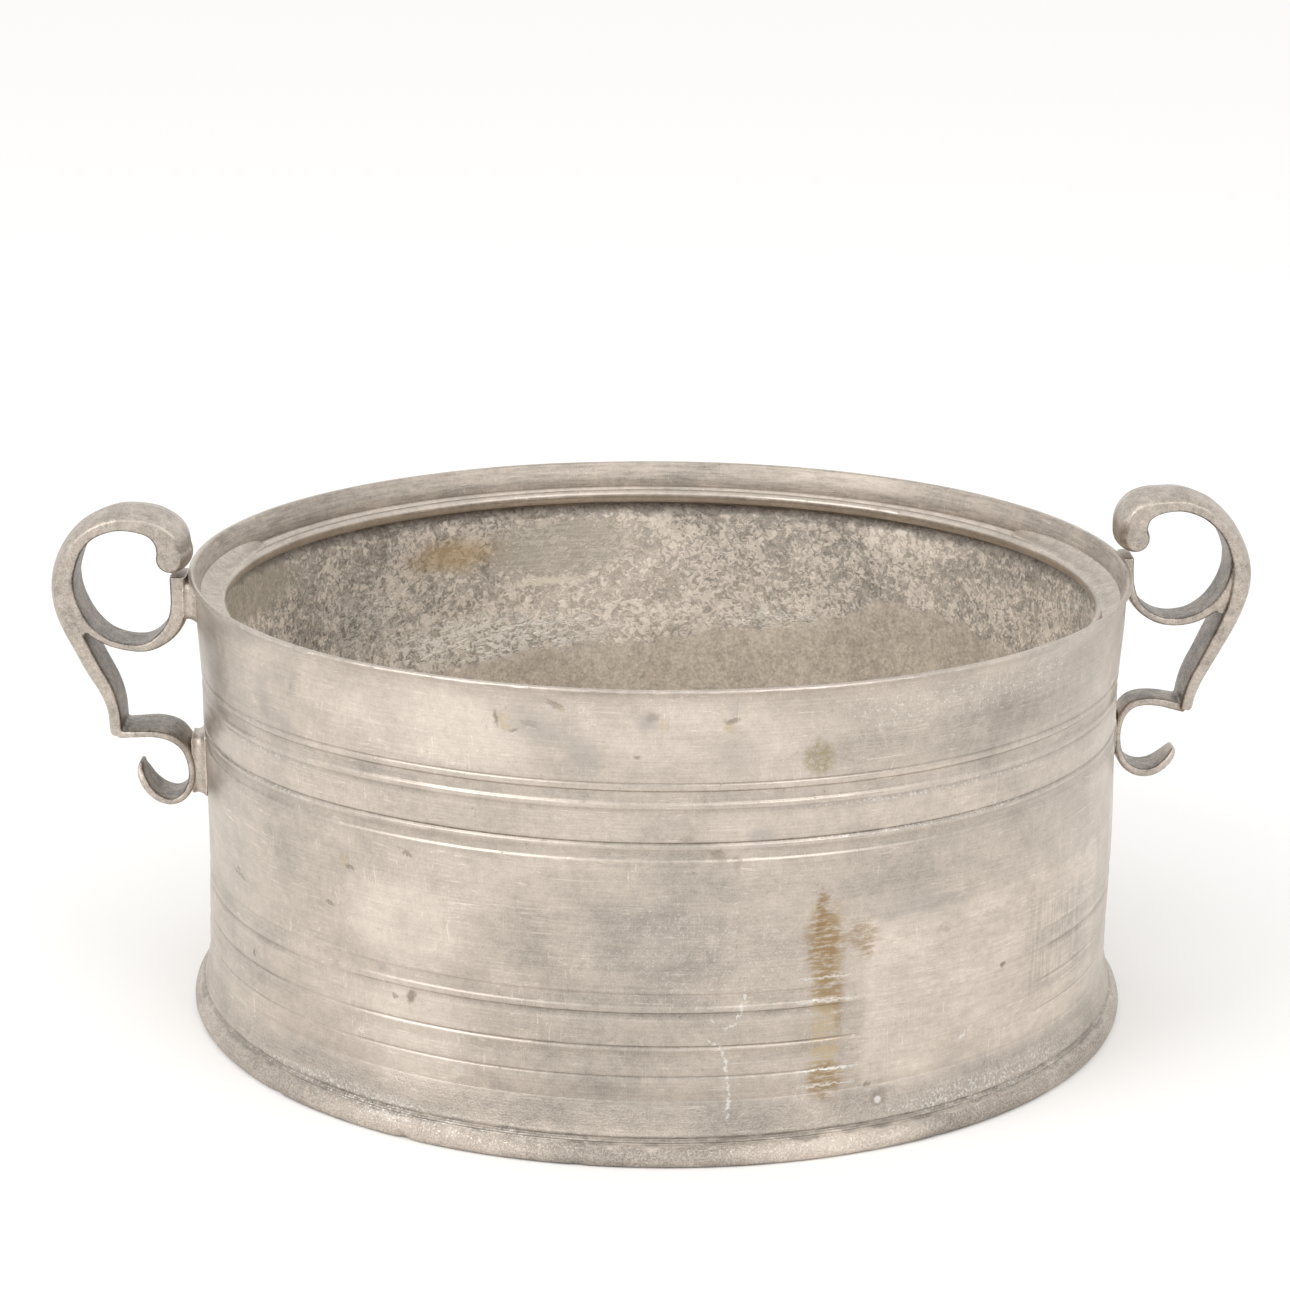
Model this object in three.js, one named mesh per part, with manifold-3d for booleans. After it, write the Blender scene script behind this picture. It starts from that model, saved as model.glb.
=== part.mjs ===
// A round two-handled pewter vessel: a waisted drum on a moulded foot, with a ledge inside the lip
// that once carried a lid, and two scroll handles soldered to the wall. Nothing on it moves.
// Millimetres, +Z up. The origin is the centre of the resting plane and the handles lie along X.
import * as THREE from 'three';
import { mergeVertices } from 'three/addons/utils/BufferGeometryUtils.js';
import Module from 'manifold-3d';

const wasm = await Module();
wasm.setup();

// Driving dimensions.
const LIP_RADIUS = 120;
const HEIGHT = 114.6;
const WAIST_RADIUS = 117;
const WALL_THICK = 2.4;
const LIP_THICK = 1.6;
const FOOT_RADIUS = 121.2;
const FOOT_HEIGHT = 15.2;
const SHELF_HEIGHT = 4.7; // the foot's inner shelf, which carries the wall and the floor
const SHELF_INNER_RADIUS = 112.5;
const FLOOR_THICK = 2.6;
const LEDGE_INNER_RADIUS = 110.8;
const LEDGE_DEPTH = 6.6; // below the lip
const LEDGE_THICK = 3.9;
const PAD_THICK = 0.9; // solder run over the ledge behind each handle
const PAD_HALF_ANGLE = THREE.MathUtils.degToRad(21);
const HANDLE_ROOT = 118; // from the axis, where each handle's own outline starts
const HANDLE_YAW = THREE.MathUtils.degToRad(-6.5); // the castings were soldered on off the radius
const GAP = 0.3; // solder line between neighbouring pieces
const SEGMENTS = 72;

// Materials.
const PEWTER = { color: 0xb5ada3, roughness: 0.42, metalness: 1 };
const DULL_PEWTER = { color: 0x8f877b, roughness: 0.6, metalness: 1 };
const CAST_PEWTER = { color: 0xa8a197, roughness: 0.55, metalness: 1 };
const SOLDER = { color: 0xb9b3a6, roughness: 0.5, metalness: 1 };

const object = new THREE.Group();

function addPiece(name, geometry, finish, parent = object) {
  const piece = new THREE.Mesh(geometry, new THREE.MeshStandardMaterial(finish));
  piece.name = name;
  parent.add(piece);
}

// A closed outline of [radius, height] points, turned about Z.
function turned(outline) {
  const points = outline.map(([radius, height]) => new THREE.Vector2(radius, height));
  const geometry = new THREE.LatheGeometry(points, SEGMENTS);
  return geometry.rotateX(Math.PI / 2);
}

function closed(outline) {
  return [...outline, outline[0]];
}

// manifold-3d joins and cuts.
function toSolid(geometry) {
  const bare = geometry.clone();
  bare.deleteAttribute('normal');
  bare.deleteAttribute('uv');
  const merged = mergeVertices(bare, 1e-4);
  const triVerts = new Uint32Array(merged.index.array);
  const vertProperties = new Float32Array(merged.attributes.position.array);
  return new wasm.Manifold(new wasm.Mesh({ numProp: 3, vertProperties, triVerts }));
}

function toGeometry(solid) {
  const mesh = solid.getMesh();
  const geometry = new THREE.BufferGeometry();
  geometry.setAttribute('position', new THREE.BufferAttribute(mesh.vertProperties, mesh.numProp));
  geometry.setIndex(new THREE.BufferAttribute(mesh.triVerts, 1));
  geometry.computeVertexNormals();
  return geometry;
}

// The drum: outside from the foot up to the lip, then back down the inside past the ledge.
const WALL_OUTSIDE = [
  [WAIST_RADIUS - 0.6, SHELF_HEIGHT + GAP],
  [WAIST_RADIUS - 0.6, FOOT_HEIGHT + 1.5],
  [WAIST_RADIUS - 0.1, 26],
  [WAIST_RADIUS, 45],
  [WAIST_RADIUS + 0.2, HEIGHT - 38],
  [WAIST_RADIUS + 0.3, HEIGHT - 27],
  [WAIST_RADIUS + 1.2, HEIGHT - 12],
  [WAIST_RADIUS + 1.7, HEIGHT - 4.5],
  [LIP_RADIUS, HEIGHT - 0.6],
];
const wallInside = WAIST_RADIUS - WALL_THICK;
const ledgeOutside = WAIST_RADIUS - 0.4;

function drumWall() {
  return turned(closed([
    ...WALL_OUTSIDE,
    [LIP_RADIUS - 0.5, HEIGHT],
    [LIP_RADIUS - LIP_THICK, HEIGHT - 0.2],
    [ledgeOutside + 1.2, HEIGHT - 3],
    [ledgeOutside + GAP, HEIGHT - LEDGE_DEPTH + 1],
    [ledgeOutside + GAP, HEIGHT - LEDGE_DEPTH - LEDGE_THICK],
    [wallInside, HEIGHT - LEDGE_DEPTH - LEDGE_THICK - 3],
    [wallInside, SHELF_HEIGHT + GAP],
  ]));
}

// The ledge that the lid sat on: a moulded ring inside the lip.
function lidLedge() {
  const top = HEIGHT - LEDGE_DEPTH;
  return turned(closed([
    [LEDGE_INNER_RADIUS + 1.2, top - LEDGE_THICK],
    [ledgeOutside, top - LEDGE_THICK],
    [ledgeOutside, top],
    [LEDGE_INNER_RADIUS + 4.4, top],
    [LEDGE_INNER_RADIUS + 3.7, top - 0.9],
    [LEDGE_INNER_RADIUS + 2.5, top - 0.9],
    [LEDGE_INNER_RADIUS + 1.9, top - 0.3],
    [LEDGE_INNER_RADIUS, top - 1],
    [LEDGE_INNER_RADIUS, top - 2.2],
  ]));
}

function floorDisc() {
  const low = SHELF_HEIGHT + GAP;
  const radius = wallInside - GAP;
  return turned([[0, low], [radius, low], [radius, low + FLOOR_THICK], [0, low + FLOOR_THICK]]);
}

// The foot: a flared base under a thin sleeve that covers the wall's lower edge.
function footRing() {
  const sleeveInside = WALL_OUTSIDE[0][0] + GAP;
  return turned(closed([
    [SHELF_INNER_RADIUS, 0],
    [FOOT_RADIUS - 0.3, 0],
    [FOOT_RADIUS, 1.2],
    [FOOT_RADIUS - 0.4, 3.4],
    [WAIST_RADIUS + 2.4, 5.2],
    [WAIST_RADIUS + 1.3, 6.5],
    [WAIST_RADIUS + 1.3, 8],
    [WAIST_RADIUS + 0.8, 11],
    [WAIST_RADIUS + 0.2, FOOT_HEIGHT],
    [sleeveInside, FOOT_HEIGHT],
    [sleeveInside, SHELF_HEIGHT],
    [SHELF_INNER_RADIUS, SHELF_HEIGHT],
  ]));
}

// Solder run over the ledge, a sector of a flat ring centred on the handle.
function ledgePad() {
  const inner = LEDGE_INNER_RADIUS + 0.3;
  const outer = ledgeOutside - 0.1;
  const outline = new THREE.Shape();
  outline.absarc(0, 0, outer, -PAD_HALF_ANGLE, PAD_HALF_ANGLE, false);
  outline.absarc(0, 0, inner, PAD_HALF_ANGLE, -PAD_HALF_ANGLE, true);
  const geometry = new THREE.ExtrudeGeometry(outline, {
    depth: PAD_THICK,
    bevelEnabled: false,
    curveSegments: 16,
  });
  return geometry.translate(0, 0, HEIGHT - LEDGE_DEPTH + GAP);
}

// The handle castings, each in its own plane. A knot is [outward from the root, up from the lip,
// strap thickness, strap width]. The arch starts in the knob over the wall, runs over the finger
// ring and down the strap. The ring's lower half and the foot scroll leave it on the way. The two
// castings were bent apart in use, so their outlines differ a little.
const KNOB = { out: 5.5, up: 4.8, radius: 3.2, width: 17 };
const RIGHT_CASTING = {
  arch: [
    [5.5, 4.8, 6.2, 17], [5.6, 8.3, 6, 17.5], [7, 11.2, 5.2, 17.5], [9.6, 12.8, 4.2, 18],
    [12.7, 13.5, 3.3, 18], [17.5, 13.7, 3, 18], [22.7, 12, 2.8, 18], [25.9, 9.7, 2.7, 17.5],
    [29.2, 6.1, 2.8, 17], [31.7, 1.3, 3.5, 16], [33, -3.5, 4.2, 16], [32.9, -8.4, 4.3, 16],
    [31.9, -13, 3.8, 16], [29.9, -18.1, 3.6, 16], [27.6, -22.9, 3.5, 15.5], [25.1, -28.1, 3.2, 15],
    [22.8, -32.8, 3.1, 14.5], [21.4, -36.9, 2.8, 14], [20.6, -41.2, 2.5, 14],
  ],
  ring: [
    [31.9, 0.5, 3, 15.5], [31.8, -4.4, 3, 15], [30.6, -8.5, 3, 14.5], [28.6, -11.9, 2.8, 14],
    [25.8, -14.6, 2.4, 12.5], [21.9, -16.5, 2.2, 11.5], [17.3, -17.2, 2, 11], [13.1, -16.9, 2, 11],
    [9.3, -15.1, 2, 11], [6.8, -12.6, 2.1, 11], [5.1, -8.9, 2.5, 11], [4.4, -4.9, 2.9, 11],
    [4.2, -0.8, 3.2, 11],
  ],
  scroll: [
    [20.6, -41.1, 2.2, 13], [17.8, -40.5, 2.3, 11.5], [14.2, -39.8, 2.2, 10.5], [10, -39.7, 2.1, 10],
    [6.9, -40.7, 2, 10], [4.9, -42.9, 1.8, 10], [3.9, -45.9, 1.6, 10], [3.6, -49.8, 1.6, 10],
    [4.2, -53.6, 1.8, 10.5], [6, -56.9, 2, 11], [9.2, -58.7, 2.2, 11.5], [12.9, -58.6, 2.2, 11.5],
    [16, -56.8, 2.2, 10.5], [18, -54.6, 1.9, 8.5], [18.8, -53, 1.2, 6],
  ],
};
const LEFT_CASTING = {
  arch: [
    [5.5, 4.8, 6.2, 17], [6.3, 9.2, 5, 17.5], [9.4, 12.2, 4.3, 18], [13.4, 13.5, 3.7, 18],
    [19, 13.7, 3.2, 18], [24.9, 11.5, 2.9, 17.5], [28.4, 8.2, 3.2, 17], [31.1, 3, 4.2, 16],
    [32.4, -2.6, 4.6, 16], [32.2, -8, 3.9, 16], [30.9, -12.5, 3.4, 16], [28.2, -17.9, 3.5, 16],
    [25.3, -23.8, 3.5, 15.5], [22.2, -29.6, 3.1, 15], [20.6, -34.6, 2.6, 15], [20.1, -41.2, 2.4, 15],
  ],
  ring: [
    [31.4, 1.5, 3, 15.5], [31, -4.4, 3, 15.5], [29.3, -9.2, 2.8, 15.5], [26.4, -13.4, 2.2, 15],
    [22.2, -16.4, 1.8, 13.5], [16.7, -17.4, 1.8, 13], [12.2, -17.1, 2.2, 13], [8.4, -15.6, 3, 12],
    [5.5, -12.9, 3.8, 11], [4.3, -9, 4, 10.5], [4.3, -0.5, 4, 10.5],
  ],
  scroll: [
    [20, -41, 2, 15], [15.5, -40.7, 1.8, 16], [10.5, -40.6, 1.8, 16.5], [6, -42, 1.9, 16],
    [3.3, -44.9, 1.9, 14], [1.9, -49.5, 1.8, 13], [2, -53.6, 1.8, 13], [3.9, -57.4, 1.7, 13.5],
    [6.7, -58.8, 1.6, 14], [10, -58.1, 1.8, 14], [12.8, -55.8, 2, 13], [14.6, -52.8, 2, 11],
    [15.1, -50.9, 1.5, 8], [14.8, -49.6, 0.9, 6],
  ],
};
const STEPS_PER_KNOT = 5;

// A strap of varying thickness and width along a curve through the knots.
function strap(knots) {
  const path = new THREE.CatmullRomCurve3(
    knots.map(([out, up]) => new THREE.Vector3(out, 0, up)), false, 'centripetal');
  const section = new THREE.CatmullRomCurve3(
    knots.map(([, , thick, wide]) => new THREE.Vector3(thick / 2, wide / 2, 0)));
  const steps = (knots.length - 1) * STEPS_PER_KNOT;
  const corners = [];
  const faces = [];
  for (let step = 0; step <= steps; step += 1) {
    const centre = path.getPoint(step / steps);
    const along = path.getTangent(step / steps);
    const half = section.getPoint(step / steps);
    for (const [across, side] of [[1, 1], [-1, 1], [-1, -1], [1, -1]]) {
      corners.push(centre.x - along.z * half.x * across, side * half.y,
        centre.z + along.x * half.x * across);
    }
    if (step < steps) {
      for (let edge = 0; edge < 4; edge += 1) {
        const a = step * 4 + edge;
        const b = step * 4 + (edge + 1) % 4;
        faces.push(a, b + 4, b, a, a + 4, b + 4);
      }
    }
  }
  const last = steps * 4;
  faces.push(0, 2, 3, 0, 1, 2, last, last + 2, last + 1, last, last + 3, last + 2);
  const geometry = new THREE.BufferGeometry();
  geometry.setAttribute('position', new THREE.Float32BufferAttribute(corners, 3));
  geometry.setIndex(faces);
  return geometry;
}

// What the wall and its solder line fill, which the handles and lugs stay clear of.
function wallEnvelope() {
  const outside = WALL_OUTSIDE.map(([radius, height]) => [radius + GAP, height]);
  return turned([[0, 0], [outside[0][0], 0], ...outside, [LIP_RADIUS + GAP, HEIGHT + GAP],
    [0, HEIGHT + GAP]]);
}

// From a handle's own plane to the wall: out along +X from the root, and turned by the yaw.
function placed(geometry) {
  return geometry.rotateZ(HANDLE_YAW).translate(HANDLE_ROOT, 0, HEIGHT);
}

const envelope = toSolid(wallEnvelope());

function handleCasting({ arch, ring, scroll }) {
  const knob = new THREE.CylinderGeometry(KNOB.radius, KNOB.radius, KNOB.width, 20)
    .translate(KNOB.out, 0, KNOB.up);
  const parts = [strap(arch), strap(ring), strap(scroll), knob].map((part) => toSolid(placed(part)));
  return toGeometry(parts.reduce((whole, part) => whole.add(part)).subtract(envelope));
}

// A lug fills the space between the wall and the back of a handle's leg.
const LUG_REACH = 6; // inwards from the leg, past the wall's outside
function lug({ back, low, high, width }) {
  const block = new THREE.BoxGeometry(LUG_REACH, width, high - low)
    .translate(back - GAP - LUG_REACH / 2, 0, (low + high) / 2);
  return toGeometry(toSolid(placed(block)).subtract(envelope));
}
const UPPER_LUG = { low: -9.4, high: -2.4, width: 9.6 };
const LOWER_LUG = { low: -55.5, high: -43, width: 9.6 };
const SIDES = [
  { side: 'right', turn: 0, casting: RIGHT_CASTING, upperBack: 2.6, lowerBack: 2.7 },
  { side: 'left', turn: Math.PI, casting: LEFT_CASTING, upperBack: 2.2, lowerBack: 0.9 },
];

addPiece('drum_wall', drumWall(), PEWTER);
addPiece('lid_ledge', lidLedge(), PEWTER);
addPiece('floor_disc', floorDisc(), DULL_PEWTER);
addPiece('foot_ring', footRing(), PEWTER);

for (const { side, turn, casting, upperBack, lowerBack } of SIDES) {
  const mount = new THREE.Group();
  mount.rotation.z = turn;
  object.add(mount);
  addPiece(`${side}_handle`, handleCasting(casting), CAST_PEWTER, mount);
  addPiece(`${side}_upper_lug`, lug({ back: upperBack, ...UPPER_LUG }), SOLDER, mount);
  addPiece(`${side}_lower_lug`, lug({ back: lowerBack, ...LOWER_LUG }), SOLDER, mount);
  addPiece(`${side}_ledge_pad`, ledgePad(), SOLDER, mount);
}

export default object;
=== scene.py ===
"""A round two-handled pewter vessel with a lid ledge, a moulded foot and cast scroll handles.

Shapes are worked out in millimetres, in the frame's own axes, and become metres when a mesh is made.
Angles are in degrees from the front, the side that the camera faces, and grow to the viewer's right.
"""

import math

import bpy
import numpy as np
from mathutils import Matrix, Vector


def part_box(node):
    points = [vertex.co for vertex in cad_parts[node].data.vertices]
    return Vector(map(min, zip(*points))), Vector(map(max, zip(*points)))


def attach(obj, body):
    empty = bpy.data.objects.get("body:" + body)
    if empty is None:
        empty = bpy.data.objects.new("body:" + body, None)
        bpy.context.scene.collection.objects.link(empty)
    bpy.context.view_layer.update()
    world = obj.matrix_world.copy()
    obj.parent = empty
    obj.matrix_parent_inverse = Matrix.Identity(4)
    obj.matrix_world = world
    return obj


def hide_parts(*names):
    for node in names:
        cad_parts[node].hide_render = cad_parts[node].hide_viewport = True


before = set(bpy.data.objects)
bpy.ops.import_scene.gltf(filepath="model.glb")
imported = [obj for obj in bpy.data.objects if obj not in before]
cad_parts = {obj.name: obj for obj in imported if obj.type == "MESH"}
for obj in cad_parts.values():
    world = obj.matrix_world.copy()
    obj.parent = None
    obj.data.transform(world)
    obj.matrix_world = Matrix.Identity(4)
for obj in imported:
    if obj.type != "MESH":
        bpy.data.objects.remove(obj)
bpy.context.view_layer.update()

MM = 0.001
BODY = "root"

# Camera: azimuth and elevation of the view, and how far the camera stands from the lip's centre.
VIEW_AZIMUTH = -7.3
VIEW_ELEVATION = 15.41
VIEW_ROLL = 0.46
VIEW_DISTANCE = 873.8
VIEW_ASIDE = -3.8
VIEW_RISE = -21.6
LENS = 95.17
SENSOR = 36.0
FRONT = math.radians(VIEW_AZIMUTH - 90)

# Driving dimensions, from the frame.
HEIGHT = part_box("drum_wall")[1].z / MM
LIP_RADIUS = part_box("drum_wall")[1].x / MM
FOOT_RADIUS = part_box("foot_ring")[1].x / MM
FOOT_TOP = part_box("foot_ring")[1].z / MM
WALL_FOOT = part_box("drum_wall")[0].z / MM
FLOOR_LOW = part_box("floor_disc")[0].z / MM
FLOOR_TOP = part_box("floor_disc")[1].z / MM
FLOOR_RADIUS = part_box("floor_disc")[1].x / MM
LEDGE_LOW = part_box("lid_ledge")[0].z / MM
LEDGE_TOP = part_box("lid_ledge")[1].z / MM
LEDGE_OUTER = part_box("lid_ledge")[1].x / MM
WAIST_RADIUS = LIP_RADIUS - 3
WALL_INSIDE = WAIST_RADIUS - 2.4
MM_PER_DEGREE = math.radians(1) * WAIST_RADIUS  # round the wall
LEDGE_INNER = LEDGE_OUTER - 5.8
HANDLE_ROOT = LIP_RADIUS - 2
HANDLE_YAW = -6.5
SEGMENTS = 360


# ---------------------------------------------------------------------------------------------
# Mesh tools
# ---------------------------------------------------------------------------------------------

def smoothstep(value, low, high):
    t = np.clip((value - low) / (high - low), 0, 1)
    return t * t * (3 - 2 * t)


def bell(value, centre, half_width):
    """1 at the centre, falling smoothly to almost nothing at twice the half width."""
    return np.exp(-((value - centre) / half_width) ** 2)


def trough(value, low, high, edge=0.35):
    """1 between low and high, with soft edges."""
    return smoothstep(value, low - edge, low + edge) * (1 - smoothstep(value, high - edge, high + edge))


def waver(angle, size, seed, orders=(2, 3, 5, 8)):
    """A smooth wobble round the axis, about size mm either way."""
    phases = np.random.default_rng(seed).uniform(0, 2 * math.pi, len(orders))
    waves = sum(np.sin(order * angle + phase) / order ** 0.5 for order, phase in zip(orders, phases))
    return size * waves / len(orders) ** 0.5


def from_front(angle):
    """Degrees from the front, -180 to 180, for angles in radians from +X."""
    return (np.degrees(angle - FRONT) + 180) % 360 - 180


def curve_through(knots, steps):
    """A smooth curve through the knots, with that many steps between each two. Extra columns ride along."""
    knots = np.asarray(knots, float)
    spans = np.sqrt(np.linalg.norm(np.diff(knots[:, :2], axis=0), axis=1))[:, None]
    slopes = np.diff(knots, axis=0) / spans
    inner = (slopes[:-1] * spans[1:] + slopes[1:] * spans[:-1]) / (spans[1:] + spans[:-1])
    tangents = np.vstack([slopes[:1], inner, slopes[-1:]])
    points = []
    for i, span in enumerate(spans):
        for t in np.linspace(0, 1, steps, endpoint=False):
            points.append((2 * t**3 - 3 * t**2 + 1) * knots[i] + (t**3 - 2 * t**2 + t) * span * tangents[i]
                          + (3 * t**2 - 2 * t**3) * knots[i + 1] + (t**3 - t**2) * span * tangents[i + 1])
    return np.array(points + [knots[-1]])


def make_mesh(name, corners, faces):
    mesh = bpy.data.meshes.new(name)
    mesh.from_pydata((np.asarray(corners, float) * MM).tolist(), [], [list(map(int, f)) for f in faces])
    mesh.update()
    mesh.shade_smooth()
    return mesh


def mark(mesh, name, values):
    """Gives every vertex a number that the finish can read."""
    attribute = mesh.attributes.new(name, "FLOAT", "POINT")
    attribute.data.foreach_set("value", np.asarray(values, np.float32).ravel())


def add_piece(name, mesh, finishes, node):
    """Puts a finished mesh in the scene in place of a CAD node."""
    piece = bpy.data.objects.new(name, mesh)
    bpy.context.scene.collection.objects.link(piece)
    for finish in finishes:
        mesh.materials.append(finish)
    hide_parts(node)
    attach(piece, BODY)
    return piece


def ring_faces(around, rows):
    """Quads of a grid that closes on itself round the axis and round its outline."""
    i, j = np.meshgrid(np.arange(around), np.arange(rows), indexing="ij")
    following, above = (i + 1) % around, (j + 1) % rows
    quads = [i * rows + j, following * rows + j, following * rows + above, i * rows + above]
    return np.stack(quads, -1).reshape(-1, 4)


def turned(outline, relief, segments=SEGMENTS):
    """Corners and faces of a closed outline, counter-clockwise in (radius, height), turned about Z.

    relief(angle, radius, height) gives how far each point moves outward and up."""
    radius, height = np.array(outline, float).T
    angle = np.arange(segments) * 2 * math.pi / segments
    angle, radius = np.meshgrid(angle, radius, indexing="ij")
    height = np.broadcast_to(height, radius.shape)
    outward, up = relief(angle, radius, height)
    radius, height = radius + outward, height + up
    corners = np.stack([radius * np.cos(angle), radius * np.sin(angle), height], -1)
    return corners.reshape(-1, 3), ring_faces(segments, len(outline)), angle


def graded(low, high, coarse, fine, places, reach=1.3):
    """Heights from low to high, close together near the places where detail sits."""
    heights = [low]
    while heights[-1] < high:
        near = any(abs(heights[-1] - place) < reach for place in places)
        heights.append(heights[-1] + (fine if near else coarse))
    return np.array(heights[:-1] + [high])


def relaxed(mesh, rounds):
    """Vertex positions of a mesh in mm, after rounds of moving each halfway to its neighbours' middle."""
    points = np.empty(len(mesh.vertices) * 3)
    mesh.vertices.foreach_get("co", points)
    points = points.reshape(-1, 3) / MM
    edges = np.empty(len(mesh.edges) * 2, np.int64)
    mesh.edges.foreach_get("vertices", edges)
    start, end = edges.reshape(-1, 2).T
    count = np.bincount(np.concatenate([start, end]), minlength=len(points))[:, None]
    for _ in range(rounds):
        total = np.stack([np.bincount(start, points[end, k], len(points))
                          + np.bincount(end, points[start, k], len(points)) for k in range(3)], -1)
        points = points + 0.5 * (total / count - points)
    return points


def set_points(mesh, points):
    mesh.vertices.foreach_set("co", (points * MM).ravel())
    mesh.update()


def melted(name, parts, voxel, rounds):
    """One skin round several overlapping closed parts, each (corners, faces), softened as a casting is."""
    corners, faces = [], []
    for part_corners, part_faces in parts:
        faces += [[int(k) + len(corners) for k in face] for face in part_faces]
        corners += list(part_corners)
    lump = bpy.data.objects.new(name + "_lump", make_mesh(name + "_lump", corners, faces))
    bpy.context.scene.collection.objects.link(lump)
    remesh = lump.modifiers.new("skin", "REMESH")
    remesh.mode = "VOXEL"
    remesh.voxel_size = voxel * MM
    skin = bpy.data.meshes.new_from_object(lump.evaluated_get(bpy.context.evaluated_depsgraph_get()))
    bpy.data.objects.remove(lump)
    skin.name = name
    set_points(skin, relaxed(skin, rounds))
    skin.shade_smooth()
    return skin


def mark_edges(mesh):
    """Marks how far each vertex stands out of its surroundings: above 0 on ridges, below in creases."""
    normals = np.empty(len(mesh.vertices) * 3)
    mesh.vertices.foreach_get("normal", normals)
    here = relaxed(mesh, 0)
    mark(mesh, "edge", ((here - relaxed(mesh, 6)) * normals.reshape(-1, 3)).sum(1))


# ---------------------------------------------------------------------------------------------
# Finishes
# ---------------------------------------------------------------------------------------------

class Finish:
    """A metal finish built up in layers. Sizes are in mm, and tone scales the base colour.

    Angles are in degrees to the viewer's right of the front, or of the far wall's middle with far_side.
    Every brighten comes before the first stain. Masks are plain numbers, made in the order they are used,
    because a render engine holds only so many values of one material at a time."""

    def __init__(self, name, colour, tone, roughness, metallic=1.0, far_side=False):
        self.material = bpy.data.materials.new(name)
        self.material.use_nodes = True
        self.tree = self.material.node_tree
        self.shader = self.tree.nodes["Principled BSDF"]
        self.shader.inputs["Metallic"].default_value = metallic
        self.colour, self.tone, self.rough, self.relief = colour, tone, roughness, 0.0
        self.base = None
        coordinates = self.add("ShaderNodeTexCoord", {}, "Object")
        self.place = self.add("ShaderNodeVectorMath", {0: coordinates, 3: 1 / MM}, 0, operation="SCALE")
        x, y, z = self.add("ShaderNodeSeparateXYZ", {0: self.place}).node.outputs
        toward = self.calc("MULTIPLY_ADD", x, math.cos(FRONT), self.calc("MULTIPLY", y, math.sin(FRONT)))
        aside = self.calc("MULTIPLY_ADD", y, math.cos(FRONT), self.calc("MULTIPLY", x, -math.sin(FRONT)))
        toward = self.calc("MULTIPLY", toward, -1.0 if far_side else 1.0)
        self.angle = self.calc("MULTIPLY", self.calc("ARCTAN2", aside, toward), math.degrees(1))
        self.height = z

    def add(self, kind, inputs, output=0, **settings):
        """A node with its inputs linked or set. Gives one of its outputs."""
        node = self.tree.nodes.new(kind)
        for key, value in settings.items():
            setattr(node, key, value)
        for key, value in inputs.items():
            if isinstance(value, bpy.types.NodeSocket):
                self.tree.links.new(value, node.inputs[key])
            else:
                node.inputs[key].default_value = value
        return node.outputs[output]

    def calc(self, operation, a, b=0.0, c=0.0):
        return self.add("ShaderNodeMath", {0: a, 1: b, 2: c}, 0, operation=operation)

    def both(self, a, b):
        return self.calc("MULTIPLY", a, b)

    def fade(self, value, low, high):
        """0 where value is at low or beyond it, 1 at high."""
        return self.add("ShaderNodeMapRange", {"Value": value, "From Min": low, "From Max": high}, 0,
                        interpolation_type="SMOOTHSTEP")

    def marked(self, name):
        return self.add("ShaderNodeAttribute", {}, "Fac", attribute_name=name)

    def noise(self, size, detail=2.0, roughness=0.5, distortion=0.0, stretch=(1, 1, 1), turn=(0, 0, 0),
              shift=0):
        """Noise with features of about that size, stretched along the axes and turned by degrees."""
        mapping = {"Vector": self.place, "Location": (shift, shift, shift),
                   "Rotation": tuple(map(math.radians, turn)), "Scale": tuple(1 / s for s in stretch)}
        here = self.add("ShaderNodeMapping", mapping)
        return self.add("ShaderNodeTexNoise", {"Vector": here, "Scale": 1 / size, "Detail": detail,
                                               "Roughness": roughness, "Distortion": distortion}, "Fac")

    def cloud(self, size, low, high, **shape):
        """Noise faded in from low to high."""
        return self.fade(self.noise(size, **shape), low, high)

    def hairlines(self, size, stretch, turn):
        """Long thin scratches, where a stretched noise crosses its middle."""
        wave = self.noise(size, 1, stretch=stretch, turn=turn)
        crossing = self.calc("ABSOLUTE", self.calc("SUBTRACT", wave, 0.5))
        broken = self.cloud(size * 9, 0.5, 0.62)
        return self.both(self.fade(crossing, 0.012, 0), broken)

    def shaken(self, reach, size):
        """The angle and height, moved about by noise, which gives spots ragged edges."""
        sway = [self.calc("SUBTRACT", self.noise(size, 3, shift=shift), 0.5) for shift in (0, 400)]
        return (self.calc("MULTIPLY_ADD", sway[0], 2 * reach / MM_PER_DEGREE, self.angle),
                self.calc("MULTIPLY_ADD", sway[1], 2 * reach, self.height))

    def spot(self, angle, height, half_width, half_height, place=None, lean=0.0, soft=0.35):
        """1 inside an oval on the wall, with a soft edge."""
        turn, rise = place or (self.angle, self.height)
        lean = math.radians(lean)
        across, up = MM_PER_DEGREE * angle, height
        along_x = (math.cos(lean) / half_width, math.sin(lean) / half_width)
        along_y = (-math.sin(lean) / half_height, math.cos(lean) / half_height)
        squares = []
        for share_across, share_up in (along_x, along_y):
            offset = -(share_across * across + share_up * up)
            part = self.calc("MULTIPLY_ADD", turn, share_across * MM_PER_DEGREE, offset)
            part = self.calc("MULTIPLY_ADD", rise, share_up, part) if share_up else part
            squares.append(self.calc("MULTIPLY", part, part))
        away = self.calc("SQRT", self.calc("ADD", *squares))
        return self.fade(away, 1 + soft, 1 - soft)

    def between(self, value, low, high, soft):
        rising = self.fade(value, low - soft, low + soft)
        return self.both(rising, self.fade(value, high + soft, high - soft))

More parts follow.
